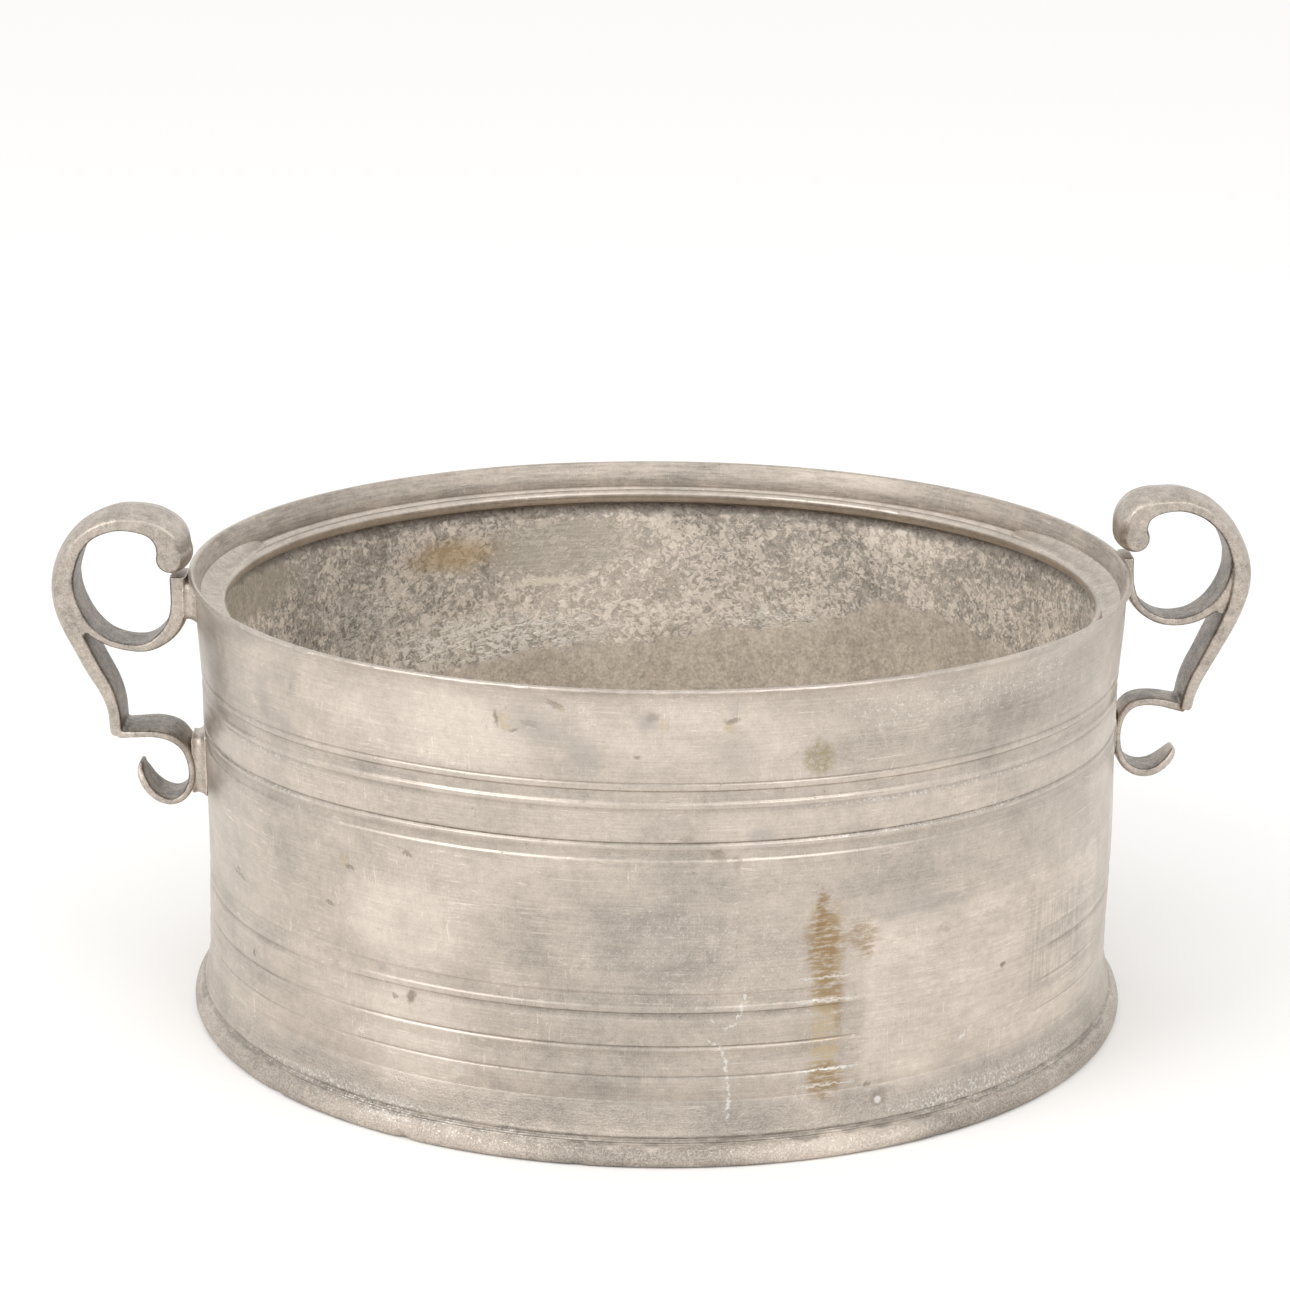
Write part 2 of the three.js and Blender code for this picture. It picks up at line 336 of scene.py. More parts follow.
    def panel(self, angle, height, half_width, half_height, place, soft=3.0):
        """1 inside an upright rectangle on the wall."""
        turn, rise = place
        half_turn = half_width / MM_PER_DEGREE
        return self.both(self.between(turn, angle - half_turn, angle + half_turn, soft / MM_PER_DEGREE),
                         self.between(rise, height - half_height, height + half_height, soft))

    def brighten(self, mask, amount):
        self.tone = self.calc("MULTIPLY_ADD", mask, amount, self.tone)

    def roughen(self, mask, amount):
        self.rough = self.calc("MULTIPLY_ADD", mask, amount, self.rough)

    def lift(self, mask, height):
        self.relief = self.calc("MULTIPLY_ADD", mask, height, self.relief)

    def toned(self):
        return self.add("ShaderNodeVectorMath", {0: self.colour, 3: self.tone}, 0, operation="SCALE")

    def stain(self, mask, colour, amount):
        self.base = self.base or self.toned()
        mix = self.tree.nodes.new("ShaderNodeMix")
        mix.data_type = "VECTOR"
        self.tree.links.new(self.calc("MULTIPLY", mask, amount), mix.inputs[0])
        self.tree.links.new(self.base, mix.inputs[4])
        mix.inputs[5].default_value = colour
        self.base = mix.outputs[1]

    def done(self):
        """Wires the layers to the shader."""
        self.tree.links.new(self.base or self.toned(), self.shader.inputs["Base Color"])
        rough = self.add("ShaderNodeClamp", {"Value": self.rough, "Min": 0.15, "Max": 0.95})
        self.tree.links.new(rough, self.shader.inputs["Roughness"])
        bump = self.add("ShaderNodeBump", {"Height": self.relief, "Distance": MM, "Strength": 1.0}, "Normal")
        self.tree.links.new(bump, self.shader.inputs["Normal"])
        return self.material


def srgb(red, green, blue):
    """A colour as it looks, 0 to 255 a channel, in the linear numbers that shaders take."""
    return tuple(((c / 255 + 0.055) / 1.055) ** 2.4 for c in (red, green, blue))


PEWTER = srgb(236, 223.5, 210)
OXIDE = srgb(231, 221, 209)
GRIME = srgb(122, 111, 98)
# Grey-mauve of the wall's stains.
STAIN_GREY = srgb(160, 152, 147)
RUST = srgb(146, 122, 90)
TAN = srgb(186, 168, 134)
OLIVE = srgb(146, 134, 100)
# Pale chalky corrosion; the same colour paints glints and highlights.
CHALK_AND_GLINT = srgb(226, 224, 220)


def add_pewter_surface(finish, contrast=1.0):
    """What all the turned outside surfaces share: clouds of tarnish, turning lines, scratches and grain."""
    finish.brighten(finish.cloud(24, 0.34, 0.68, detail=4, roughness=0.6, distortion=0.4), 0.08 * contrast)
    finish.brighten(finish.cloud(7, 0.35, 0.65, detail=4, roughness=0.6, stretch=(2, 2, 1)), 0.07 * contrast)
    mottle = finish.noise(2.2, detail=5, roughness=0.7)
    finish.brighten(finish.fade(mottle, 0.3, 0.7), 0.10 * contrast)
    lines = finish.noise(0.8, detail=4, roughness=0.75, stretch=(70, 70, 0.6))
    finish.brighten(finish.fade(lines, 0.3, 0.7), 0.07)
    finish.lift(lines, 0.012)
    speck = finish.noise(0.4, detail=3, roughness=0.7)
    finish.brighten(finish.fade(speck, 0.3, 0.7), 0.10)
    finish.lift(speck, 0.022)
    pits = finish.cloud(1.1, 0.34, 0.26, detail=3, roughness=0.8)
    finish.brighten(pits, -0.16)
    finish.lift(pits, -0.05)
    for size, stretch, turn in ((1.2, (30, 30, 1), (0, 0, 0)), (1.4, (16, 16, 0.7), (0, 28, 0)),
                                (1.6, (0.8, 0.8, 12), (0, 12, 0)), (1.3, (14, 14, 0.7), (0, -38, 0))):
        scratch = finish.hairlines(size, stretch, turn)
        finish.brighten(scratch, 0.17)
        finish.lift(scratch, -0.012)
    finish.roughen(finish.fade(mottle, 0.3, 0.7), 0.10)


# Marks on the wall: (angle, height, half width, half height, lean, colour, amount).
WALL_MARKS = [
    (-14.2, 104.5, 6.5, 3.6, -12, STAIN_GREY, 0.65), (-8.8, 99.5, 3, 6.5, 24, STAIN_GREY, 0.6),
    (-17.2, 105.2, 1.5, 2.4, 12, TAN, 0.85), (-18.3, 106, 0.5, 1.9, 10, GRIME, 0.9),
    (-16.3, 103.2, 0.9, 0.5, 20, GRIME, 0.7), (-11, 109.2, 0.9, 0.9, 0, TAN, 0.6),
    (-11.7, 110.2, 1.8, 0.6, -20, GRIME, 0.6), (-14.6, 105.2, 2, 0.6, -8, GRIME, 0.4),
    (-2.6, 98.4, 0.7, 0.6, 0, GRIME, 0.8), (-1.3, 107.3, 2.6, 2.1, -20, STAIN_GREY, 0.7),
    (-0.9, 108, 1.4, 1, 0, GRIME, 0.5), (0.3, 106, 1, 1.5, 0, TAN, 0.45),
    (7.5, 105.5, 1.3, 1.4, 0, TAN, 0.75), (7.7, 106.9, 1.7, 0.6, 0, GRIME, 0.8),
    (7.8, 110, 1.1, 1.8, 12, STAIN_GREY, 0.6), (8.2, 99.5, 6, 4, 0, STAIN_GREY, 0.45),
    (17.8, 97, 3.4, 4.2, 0, OLIVE, 1), (-53, 97.5, 2.6, 4.8, 12, STAIN_GREY, 0.75),
    (-49.5, 94.3, 4.2, 1.4, -20, STAIN_GREY, 0.5), (-47, 105, 1.3, 2.4, 0, STAIN_GREY, 0.5),
    (-30, 70, 2.1, 0.55, -26, GRIME, 0.85), (-39.2, 64.2, 1.2, 1.7, 10, TAN, 0.5),
    (-38.4, 63, 1.2, 0.5, -10, GRIME, 0.8), (-42, 52.2, 1.6, 0.3, 0, GRIME, 0.7),
    (-62, 48, 4.6, 0.45, -9, GRIME, 0.8), (-62.6, 49.2, 1.1, 0.5, 0, GRIME, 0.7),
    (-29.6, 34.4, 1, 1.5, -20, GRIME, 0.95), (-32, 33.6, 0.8, 0.6, 0, GRIME, 0.75),
    (-58, 30.2, 0.8, 0.8, 0, GRIME, 0.8), (-34, 40, 1.6, 1.1, 0, STAIN_GREY, 0.8),
    (-23.5, 18.6, 1.4, 1.3, 0, CHALK_AND_GLINT, 0.25), (-58, 22, 2.6, 0.8, -8, GRIME, 0.35),
    (11.4, 78.8, 2.8, 2.6, 0, STAIN_GREY, 0.7), (3, 79, 1.4, 1, 0, GRIME, 0.4),
    (6.4, 74.6, 1.7, 1.3, 0, GRIME, 0.5), (8.6, 72.6, 0.8, 2, 0, GRIME, 0.4),
    (34.8, 50.6, 2.2, 1.4, 0, GRIME, 0.4), (42.3, 51.4, 3.2, 0.9, 0, GRIME, 0.4),
    (49.6, 52.2, 2, 2.2, 0, GRIME, 0.4), (44.5, 37, 0.55, 0.5, 0, GRIME, 1),
    (39, 23, 2.2, 0.42, 34, CHALK_AND_GLINT, 1), (37.9, 22.2, 0.8, 0.6, 0, CHALK_AND_GLINT, 0.9),
    (36.3, 17, 5, 2.6, 10, STAIN_GREY, 0.55), (-2, 55, 14, 12, 0, STAIN_GREY, 0.10),
    (31, 57, 9, 4, 0, STAIN_GREY, 0.40), (24.8, 15, 0.9, 0.8, 40, GRIME, 0.7),
]
# Areas rubbed brighter, left duller, or painted with highlight and shade: (angle, height, half width, half
# height, amount).
WALL_TONES_AND_PAINTED_LIGHT = [
    # The column near -30 degrees is partly burnished and partly a painted highlight where the left softbox
    # reflects; the dark patch at -68 degrees is painted shade beside the left handle.
    (-27, 102, 24, 9, 0.13), (-31, 52, 17, 10, 0.15), (-29, 26, 17, 14, 0.12), (3, 104, 26, 8, 0.08),
    (-56, 104, 16, 7, 0.04), (36, 98, 34, 6, -0.09), (52, 102, 22, 9, -0.08), (-68, 100, 9, 8, -0.08),
    (38, 67, 40, 8, -0.05), (-4, 52, 34, 11, -0.10), (-6, 28, 30, 12, -0.07), (-58, 64, 20, 12, -0.04),
    (72, 55, 16, 50, 0.06), (-58, 15, 20, 5, 0.03), (-8, 15, 40, 5, -0.06), (60, 15, 30, 5, 0.05),
    (0, 67, 24, 7, -0.06), (44, 51, 22, 6, -0.035), (32, 16, 10, 3.5, 0.06),
]
# The crack left of the seam, in straight stretches: (angle, height, half length, lean from upright).
CRACK = [(9.8, 41, 2.2, 6), (9.2, 36.6, 2.4, -14), (8.3, 33.6, 1.8, -60), (6.4, 34.4, 1.4, 50),
         (6.2, 29.4, 1.8, 62), (7.3, 26.6, 2.2, 22), (7.7, 22.2, 2.6, 4), (8, 17, 3, 2),
         (7.9, 12.6, 1.8, -6)]
# What has wept from the solder seam: (angle, height, half width, half height, amount).
WEEPS = [(19, 52, 4.4, 8, 0.9), (18.6, 60, 1.4, 5, 0.9), (19.6, 41, 3.8, 5, 0.75), (19.3, 18, 4.2, 4.5, 0.8),
         (23.6, 53, 4.4, 3.2, 0.6), (20.8, 34, 1.2, 6, 0.5), (24.2, 49, 1.8, 2.6, 0.5)]
# Chalky crumbs in the groove over the foot's flange, in the same way.
FOOT_CRUMBS = [(-42, 7, 34, 1.6, 0.6), (44, 8.3, 34, 3, 0.65), (-22, 5.2, 24, 1, 0.5), (-34, 5, 16, 1, 0.7)]


def add_foot_tones(finish, ragged):
    """The foot band is granular; its flange is darker overall with bright grit, and carries painted
    highlights where the two softboxes reflect on its top.
    """
    band = finish.between(ragged[1], 5.5, 14, 1.5)
    sand = finish.cloud(0.55, 0.35, 0.65, detail=3, roughness=0.75)
    finish.brighten(finish.both(band, sand), -0.12)
    finish.lift(finish.both(band, sand), 0.08)
    finish.brighten(finish.between(ragged[1], 5.2, 6.4, 0.3), -0.16)
    flange = finish.between(ragged[1], -3, 4.8, 0.6)
    grit = finish.cloud(0.5, 0.36, 0.64, detail=3, roughness=0.8)
    finish.brighten(finish.both(flange, grit), 0.26)
    finish.lift(finish.both(flange, grit), 0.10)
    finish.brighten(flange, -0.23)
    # Painted highlights on the flange's top where the left and right softboxes reflect.
    for angle, half_width, amount in ((-30, 30, 0.18), (20, 25, 0.28)):
        finish.brighten(finish.both(flange, finish.spot(angle, 2.4, half_width, 3, ragged)), amount)


def add_foot_crust(finish, ragged):
    """The crumbs, and one pale chip with a dark edge on the foot band."""
    crumbs = finish.cloud(0.65, 0.52, 0.62, detail=2.5, roughness=0.6)
    for angle, height, half_width, half_height, amount in FOOT_CRUMBS:
        area = finish.spot(angle, height, half_width, half_height, ragged, soft=0.5)
        finish.stain(finish.both(area, crumbs), CHALK_AND_GLINT, amount)
    finish.stain(finish.spot(26, 11.3, 2.4, 1.8, ragged), GRIME, 0.4)
    finish.stain(finish.spot(26, 11.3, 0.9, 0.8), CHALK_AND_GLINT, 0.8)


def wall_outside_finish():
    finish = Finish("wall_pewter", PEWTER, 0.397, 0.34)
    add_pewter_surface(finish)
    ragged = finish.shaken(2.4, 6)
    rim = finish.marked("rim")
    streaks = finish.cloud(1.0, 0.3, 0.62, detail=4, roughness=0.75, stretch=(9, 9, 1))
    finish.brighten(rim, -0.19)
    finish.brighten(finish.both(rim, streaks), 0.16)
    finish.roughen(rim, 0.16)
    add_foot_tones(finish, ragged)
    frayed = finish.shaken(1.1, 1.3)
    # Rubbed and dulled patches, with painted highlight and painted shade among them.
    for angle, height, half_width, half_height, amount in WALL_TONES_AND_PAINTED_LIGHT:
        finish.brighten(finish.spot(angle, height, half_width, half_height, ragged, soft=0.45), amount)

    # The scraped panel right of the solder seam, with upright strokes at its far end.
    panel = finish.panel(46, 36, 45, 20, ragged, soft=1.6)
    finish.brighten(panel, 0.08)
    strokes = finish.noise(0.9, detail=3, stretch=(1, 1, 14), turn=(0, 4, 0))
    stroked = finish.panel(56, 38, 14, 12, ragged)
    finish.brighten(finish.both(stroked, finish.fade(strokes, 0.42, 0.6)), -0.10)
    rubs = finish.noise(1.6, detail=4, roughness=0.7, stretch=(5, 5, 1), turn=(0, -40, 0))
    finish.brighten(finish.both(panel, finish.fade(rubs, 0.35, 0.65)), 0.07)

    # Grime and painted shade in the lines, with chalky specks and painted highlights along them at the
    # sides.
    groove = finish.marked("groove")
    patchy = finish.cloud(16, 0.1, 0.6, detail=3)
    # Painted shade together with grime in the grooves.
    finish.brighten(finish.both(groove, patchy), -0.20)
    crumbs = finish.cloud(0.7, 0.54, 0.62, detail=2)
    add_foot_crust(finish, ragged)
    for angle, height, half_width in ((-58, 84.4, 30), (-58, 76.5, 30), (34, 85.4, 38), (34, 77.6, 38)):
        chalk_and_highlight = finish.both(finish.spot(angle, height, half_width, 0.6), crumbs)
        finish.stain(chalk_and_highlight, CHALK_AND_GLINT, 0.45)

    blotch = finish.cloud(1.3, 0.30, 0.62, detail=3, roughness=0.7)
    for angle, height, half_width, half_height, lean, colour, amount in WALL_MARKS:
        if colour == STAIN_GREY:
            area = finish.spot(angle, height, half_width, half_height, ragged, lean, soft=0.8)
        elif max(half_width, half_height) > 2:
            area = finish.both(finish.spot(angle, height, half_width, half_height, frayed, lean), blotch)
        else:
            area = finish.spot(angle, height, half_width, half_height, frayed, lean, soft=0.55)
            finish.lift(area, -0.15)
        finish.stain(area, colour, 0.7 * amount)

    # The solder seam, stained by what has wept from it.
    streaks = finish.cloud(0.7, 0.34, 0.58, detail=3, roughness=0.7, stretch=(5, 5, 1.1))
    torn = finish.shaken(1.6, 2.6)
    seam = finish.panel(19.3, 39, 3.5, 23, torn, soft=1.0)
    finish.stain(finish.both(seam, streaks), TAN, 0.7)
    for angle, height, half_width, half_height, amount in WEEPS:
        weep = finish.spot(angle, height, half_width, half_height, torn, soft=0.5)
        finish.stain(finish.both(weep, streaks), RUST, amount)
    for height, amount in ((43.6, 0.5), (37.8, 0.6), (20.8, 0.7), (16.9, 0.6)):
        finish.stain(finish.spot(19.5, height, 7, 0.28, frayed), CHALK_AND_GLINT, amount)

    crackle = finish.cloud(1.2, 0.42, 0.56, detail=3, roughness=0.7)
    for angle, height, half_length, lean in CRACK:
        stretch = finish.spot(angle, height, 0.34, half_length, frayed, lean, soft=0.6)
        finish.stain(finish.both(stretch, crackle), CHALK_AND_GLINT, 0.75)
    pale = finish.cloud(0.8, 0.60, 0.66, detail=2)
    finish.stain(finish.both(pale, finish.panel(38, 107, 34, 4, ragged)), CHALK_AND_GLINT, 0.45)
    finish.stain(finish.both(pale, finish.spot(4, 50, 26, 14, ragged)), CHALK_AND_GLINT, 0.20)
    return finish.done()


# Where the lower, brown part of the inside ends: (angle on the far wall, height).
TIDE_LINE = [(-180, 55), (-60, 52), (-30, 57), (-20, 60.5), (-10, 60), (0, 62), (10, 66), (20, 69), (28, 73),
             (33, 80), (42, 79), (50, 77), (58, 74), (68, 72), (180, 60)]
# Paler and darker areas of the inside, and its white crusts, as WALL_TONES_AND_PAINTED_LIGHT are given.
INSIDE_TONES = [
    (-9, 84, 24, 26, 0.20), (12, 78, 34, 22, 0.08), (39, 98, 19, 3.2, 0.18), (47, 84, 24, 8, 0.04),
    (-50, 84, 30, 16, -0.12), (62, 98, 16, 4, -0.10), (8, 98, 14, 3, -0.06), (-72, 92, 16, 14, 0.06),
    (-31, 77, 9, 4, -0.09),
]
CRUSTS = [(-28, 65, 28, 6.5, 1.0), (-14, 66, 14, 4.5, 0.8), (-46, 76, 18, 10, 0.35), (17, 70, 14, 3, 0.45)]


def inside_finish():
    finish = Finish("inside_pewter", OXIDE, 0.29, 0.5, metallic=0.45, far_side=True)
    ragged = finish.shaken(3.0, 7)
    frayed = finish.shaken(0.9, 1.6)
    ripple = finish.noise(5, detail=4, roughness=0.65)
    tide = finish.calc("MULTIPLY_ADD", ripple, 9.0, finish.marked("tide"))
    above = finish.fade(tide, 4.0, 5.2)

    # Coral-like speckles of pale corrosion over dark metal, closer together in some places.
    coral = finish.noise(1.9, detail=3.5, roughness=0.62, distortion=0.9)
    spread = finish.calc("MULTIPLY_ADD", finish.noise(13, detail=3), 0.45, coral)
    speckle = finish.both(finish.fade(spread, 0.70, 0.80), above)
    finish.brighten(speckle, 0.34)
    finish.lift(speckle, 0.10)
    finish.brighten(finish.cloud(17, 0.35, 0.65, detail=3), 0.10)
    finish.brighten(finish.cloud(3.2, 0.32, 0.66, detail=4, roughness=0.65), 0.24)
    finish.brighten(finish.cloud(0.8, 0.3, 0.7, detail=3, roughness=0.7), 0.18)
    below = finish.calc("SUBTRACT", 1.0, above)
    finish.brighten(below, 0.08)
    silt = finish.cloud(1.2, 0.36, 0.64, detail=4, roughness=0.8)
    finish.brighten(finish.both(below, silt), 0.26)
    pits = finish.cloud(1.3, 0.40, 0.30, detail=3, roughness=0.7)
    finish.brighten(finish.both(pits, above), -0.16)

    for angle, height, half_width, half_height, amount in INSIDE_TONES:
        finish.brighten(finish.spot(angle, height, half_width, half_height, ragged, soft=0.5), amount)
    smooth = finish.spot(-72, 96, 22, 7, ragged)
    finish.stain(smooth, srgb(166, 158, 142), 0.7)
    smooth = finish.spot(-14, 91, 20, 8, ragged)
    finish.stain(smooth, srgb(184, 176, 164), 0.55)
    brushed = finish.noise(0.7, detail=3, stretch=(40, 40, 0.8))
    finish.stain(finish.both(smooth, finish.fade(brushed, 0.45, 0.6)), srgb(214, 207, 194), 0.65)
    finish.stain(finish.spot(-31, 91, 13, 4.6, ragged, soft=0.6), srgb(186, 160, 116), 0.65)
    finish.stain(finish.spot(-15.5, 81, 10, 1.1, frayed, soft=0.6), srgb(240, 231, 214), 0.9)

    crusty = finish.cloud(1.5, 0.44, 0.56, detail=3, roughness=0.6, distortion=0.8, stretch=(1.6, 1.6, 1))
    for angle, height, half_width, half_height, amount in CRUSTS:
        crust = finish.both(finish.spot(angle, height, half_width, half_height, ragged, soft=0.5), crusty)
        finish.stain(crust, srgb(240, 235, 226), amount)
        finish.lift(crust, 0.12)

    finish.stain(below, srgb(190, 178, 156), 0.25)
    # Painted shadow under the lid ledge, on the inside wall below its edge.
    finish.stain(finish.between(ragged[1], 100.3, 108, 0.8), srgb(98, 90, 80), 0.55)
    # Two painted glints on the far wall.
    for angle, height in ((72.5, 94.5), (75, 95.6)):
        finish.stain(finish.spot(angle, height, 0.9, 0.8, frayed), CHALK_AND_GLINT, 1.0)
    finish.lift(finish.noise(0.5, detail=3, roughness=0.7), 0.05)
    finish.roughen(above, 0.05)
    return finish.done()


def ledge_finish():
    finish = Finish("ledge_pewter", PEWTER, 0.36, 0.36)
    add_pewter_surface(finish, contrast=1.3)
    return finish.done()


def cast_finish(name, tone):
    """Sand-cast metal, rubbed brighter along the ridges with a painted highlight on them, and painted shade
    in the creases and inside the hollows.
    """
    finish = Finish(name, PEWTER, tone, 0.42)
    edge = finish.marked("edge")
    # The ridges: partly rubbed metal, partly a painted highlight.
    ridge = finish.fade(finish.calc("MULTIPLY_ADD", finish.noise(1.5, detail=3), 0.10, edge), 0.10, 0.24)
    finish.brighten(ridge, 0.26)
    finish.roughen(ridge, -0.10)
    # Painted shade in the creases and in the hollows.
    finish.brighten(finish.fade(edge, -0.02, -0.22), -0.26)
    finish.brighten(finish.marked("hollow_shade"), -0.25)
    finish.brighten(finish.cloud(6, 0.35, 0.65, detail=4, roughness=0.6), 0.12)
    sand = finish.noise(0.42, detail=3, roughness=0.7)
    finish.brighten(finish.fade(sand, 0.34, 0.66), 0.19)
    finish.lift(sand, 0.08)
    lump = finish.noise(1.6, detail=3, roughness=0.6)
    finish.brighten(finish.fade(lump, 0.35, 0.65), 0.11)
    finish.lift(lump, 0.06)
    return finish.done()


# ---------------------------------------------------------------------------------------------
# Drum wall
# ---------------------------------------------------------------------------------------------

# The wall's outside, as knots of (height, radius); the curve through them is the turned profile.
WALL_PROFILE = [(height, WAIST_RADIUS + out) for height, out in (
    (WALL_FOOT, -0.6), (FOOT_TOP - 4, -0.6), (FOOT_TOP, -0.15), (FOOT_TOP + 6, -0.1), (44, 0), (76, 0.2),
    (90, 0.4), (103, 1.3), (110, 1.6), (112.4, 2.2), (114, 3.1))]
# Incised lines as (height, half width, depth) and shallow turned bands as (low, high, depth).
LINES = [(92.0, 0.28, 0.30), (85.5, 0.38, 0.55), (77.7, 0.34, 0.50), (72.9, 0.25, 0.10),
         (43.6, 0.26, 0.28), (36.4, 0.34, 0.42), (28.3, 0.32, 0.36), (20.9, 0.26, 0.28)]
BANDS = [(87.3, 90.3, 0.50), (73.6, 76.2, 0.42), (38.2, 41.4, 0.28), (24.6, 27.2, 0.26)]
LOWER_LINES = 50  # lines below this height are worn away in places


def lines_and_bands(height, line_share=1.0, band_share=1.0):
    """The lines' and the bands' depth at a height, each times its share."""
    lines = sum(deep * bell(height, at, half) for at, half, deep in LINES)
    bands = sum(deep * trough(height, low, high) for low, high, deep in BANDS)
    return line_share * lines + band_share * bands


def line_wear(front, height):
    """How much of a line is left, 0 to 1. The lower lines are rubbed out in two places."""
    gone = trough(front, -50, -38, 3) * 0.75 + trough(front, 22.5, 52, 2) * 0.93
    return 1 - gone * (height < LOWER_LINES)


def wall_sway(angle, height):
    """The wall isn't quite round: it leans out on the right at half height, and wavers elsewhere."""
    middle = trough(height, 32, 62, 14)
    return 0.55 * middle * np.cos(angle) + waver(angle, 0.18, 3) * smoothstep(height, 20, HEIGHT)


def lip_sway(angle):
    """How far the lip's edge rises and falls."""
    return waver(angle, 0.16, 5, (2, 3, 5, 7, 11, 17))


def drum_wall():
    places = [at for at, _, _ in LINES] + [end for low, high, _ in BANDS for end in (low, high)]
    heights = graded(WALL_FOOT, HEIGHT - 0.6, 1.4, 0.2, places + [HEIGHT - 1], 1.0)
    profile = curve_through(WALL_PROFILE, 12)
    outside = [(r, h) for r, h in zip(np.interp(heights, profile[:, 0], profile[:, 1]), heights)]
    lip = [(LIP_RADIUS - back, HEIGHT - down) for back, down in
           ((0, 0.35), (0.2, 0.1), (0.5, 0), (0.9, 0.02), (1.25, 0.15), (1.5, 0.45))]
    band = curve_through([(LIP_RADIUS - 1.6, HEIGHT - 0.8), (LIP_RADIUS - 2.3, HEIGHT - 2.5),
                          (LIP_RADIUS - 2.9, HEIGHT - 4.4), (LEDGE_OUTER + 0.3, HEIGHT - 5.8)], 4)
    seat = [(LEDGE_OUTER + 0.3, LEDGE_TOP - 1.5), (LEDGE_OUTER + 0.3, LEDGE_LOW),
            (LEDGE_OUTER - 0.6, LEDGE_LOW - 1.2), (WALL_INSIDE + 0.2, LEDGE_LOW - 3),
            (WALL_INSIDE, LEDGE_LOW - 4)]
    inside = [(WALL_INSIDE, h) for h in np.arange(LEDGE_LOW - 6, FLOOR_TOP, -2.2)]
    inside.append((WALL_INSIDE, WALL_FOOT))
    outline = outside + lip + [tuple(p) for p in band] + seat + inside
    is_outside = np.arange(len(outline)) < len(outside)
    groove = lines_and_bands(np.array(outline)[:, 1]) * is_outside

    def relief(angle, radius, height):
        front = from_front(angle)
        left_drop = 1.3 * smoothstep(-front, 25, 70) * (1 - smoothstep(-front, 100, 150))
        body = trough(height, 18, 98, 6)
        outward = wall_sway(angle, height) - groove * line_wear(front, height)
        lip_share = smoothstep(height, LEDGE_LOW, HEIGHT)
        return outward, -left_drop * body * is_outside + lip_sway(angle) * lip_share

    corners, faces, angle = turned(outline, relief)
    mesh = make_mesh("drum_wall_skin", corners, faces)
    front = from_front(angle)
    height = np.broadcast_to(np.array(outline)[:, 1], angle.shape)
    mark(mesh, "groove", lines_and_bands(height, 2.0, 0.9) * line_wear(front, height) * is_outside)
    row = np.arange(len(outline))
    rim_start = len(outside) + len(lip) - 2
    mark(mesh, "rim", np.broadcast_to((row >= rim_start) & (row < rim_start + len(band) + 3), angle.shape))
    far_angle = (180 - front + 180) % 360 - 180
    mark(mesh, "tide", height - np.interp(far_angle, *zip(*TIDE_LINE)))
    is_inside = row >= len(outside) + len(lip) + len(band) + 2
    mesh.polygons.foreach_set("material_index", np.tile(is_inside, SEGMENTS).astype(np.int32))
    return mesh


# ---------------------------------------------------------------------------------------------
# Lid ledge, floor and foot
# ---------------------------------------------------------------------------------------------

LEDGE_NOTCHES = [(180 + 12.5, 0.8), (180 - 37, 0.6)]  # degrees from the front, half width
FOOT_NICKS = [(-29.5, 0.7, 0.7), (-50, 0.5, 0.5), (-9, 0.5, 0.35), (33, 0.4, 0.3)]  # the same, and depth


def lid_ledge():
    outside = [(LEDGE_INNER + 1.4, LEDGE_LOW + 0.1), (LEDGE_INNER + 3.5, LEDGE_LOW),
               (LEDGE_OUTER, LEDGE_LOW), (LEDGE_OUTER, LEDGE_TOP - 1.5), (LEDGE_OUTER, LEDGE_TOP - 0.1),
               (LEDGE_OUTER - 0.4, LEDGE_TOP)]
    grooved = [(LEDGE_INNER + out, LEDGE_TOP - down) for out, down in
               ((4.6, 0), (4.3, 0.15), (4.0, 0.7), (3.7, 0.95), (2.9, 1.0), (2.4, 0.85), (2.1, 0.35),
                (1.8, 0.2), (0.7, 0.45), (0.15, 0.9), (0, 1.4), (0.05, 2.2), (0.4, 3.2))]

    def relief(angle, radius, height):
        edge = smoothstep(radius, LEDGE_INNER + 2.5, LEDGE_INNER)
        notches = sum(bell(from_front(angle), at, half) for at, half in LEDGE_NOTCHES)
        wavers = waver(angle, 0.14, 11, (3, 7, 13, 29)) + waver(angle, 0.1, 12, (41, 67))
        return edge * (wavers + 1.1 * notches), edge * (waver(angle, 0.1, 13, (5, 9, 31)) - 0.5 * notches)

    corners, faces, _ = turned(outside + grooved, relief)
    return make_mesh("lid_ledge_skin", corners, faces)


def floor_disc():
    rings = np.linspace(FLOOR_RADIUS, 0.5, 60)
    rise = 0.35 * (1 - (rings / FLOOR_RADIUS) ** 2) + 0.05 * np.cos(rings * 1.9)
    top = [(r, FLOOR_TOP - 0.4 + up) for r, up in zip(rings, rise)]
    bottom = [(r, FLOOR_LOW + up) for r, up in zip(rings[::-1], rise[::-1] * 0.6)]

    def relief(angle, radius, height):
        return 0 * radius, waver(angle, 0.12, 21) * radius / FLOOR_RADIUS

    corners, faces, _ = turned(bottom + top, relief, 180)
    mesh = make_mesh("floor_disc_skin", corners, faces)
    mark(mesh, "tide", np.full(len(mesh.vertices), -40))
    return mesh


